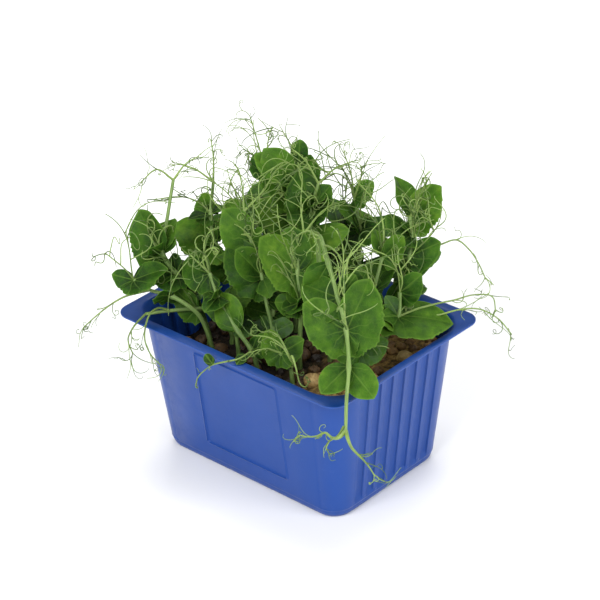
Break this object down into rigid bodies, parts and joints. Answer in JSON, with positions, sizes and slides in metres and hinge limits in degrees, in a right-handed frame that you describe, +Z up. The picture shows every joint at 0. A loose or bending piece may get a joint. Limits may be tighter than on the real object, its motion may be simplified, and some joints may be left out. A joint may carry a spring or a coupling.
{
  "type": "pea shoot microgreens tray",
  "caption": "Tapered blue plastic growing tray with fluted ends, filled with a growing medium and sown peas, with leafy pea shoots and curling tendrils standing in it",
  "frame": {"origin": "centre of the tray's flat underside", "axes": "X runs along the tray's long sides, Y across the tray, and Z is up"},
  "size_m": [0.1835, 0.1428, 0.1523],
  "materials": {
    "tray_plastic": "satin blue thermoformed sheet",
    "growing_medium": "dark crumbly growing medium with brown peas",
    "foliage": "fresh green leaves, pale green stems and tendrils"
  },
  "bodies": {
    "root": {"tray": "tray_plastic", "growing_medium": "growing_medium", "shoot_front": "foliage", "shoot_right_low": "foliage", "shoot_left_high": "foliage", "shoot_left_low": "foliage", "shoot_fork": "foliage", "shoot_stalk": "foliage", "shoot_centre": "foliage", "shoot_middle": "foliage", "shoot_top_left": "foliage", "shoot_top_right": "foliage", "shoot_right_high": "foliage", "shoot_right_mid": "foliage", "shoot_back_left": "foliage", "shoot_back_high": "foliage", "shoot_back_right": "foliage", "shoot_low_front": "foliage", "shoot_low_left": "foliage", "shoot_low_right": "foliage", "shoot_low_middle": "foliage", "shoot_low_back": "foliage", "shoot_far_end": "foliage", "shoot_back_middle": "foliage", "shoot_far_side": "foliage"}
  },
  "joints": []
}
